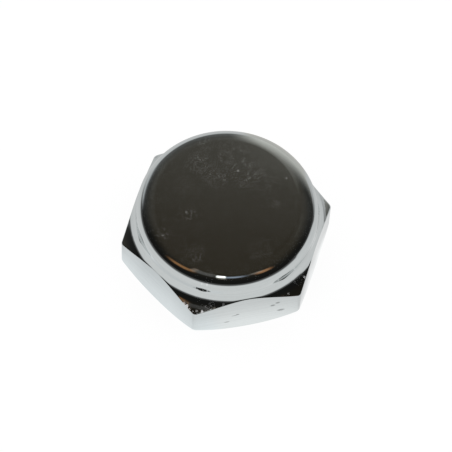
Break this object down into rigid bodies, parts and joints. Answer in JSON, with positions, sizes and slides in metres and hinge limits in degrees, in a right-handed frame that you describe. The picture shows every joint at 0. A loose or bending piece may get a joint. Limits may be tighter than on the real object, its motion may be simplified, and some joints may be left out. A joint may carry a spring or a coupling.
{
  "type": "cap nut",
  "caption": "Polished hexagon cap nut with a round crown and a blind thread, which clamps onto a threaded stem and covers its end.",
  "frame": {"origin": "centre of the seat, on the thread's axis", "axes": "+Z along the thread's axis towards the crown, with one flat of the hexagon facing -Y"},
  "size_m": [0.0344, 0.03, 0.0145],
  "materials": {
    "polished_chrome": "polished, with light dust and fine polishing lines"
  },
  "bodies": {
    "root": {"cap_nut": "polished_chrome"}
  },
  "joints": []
}
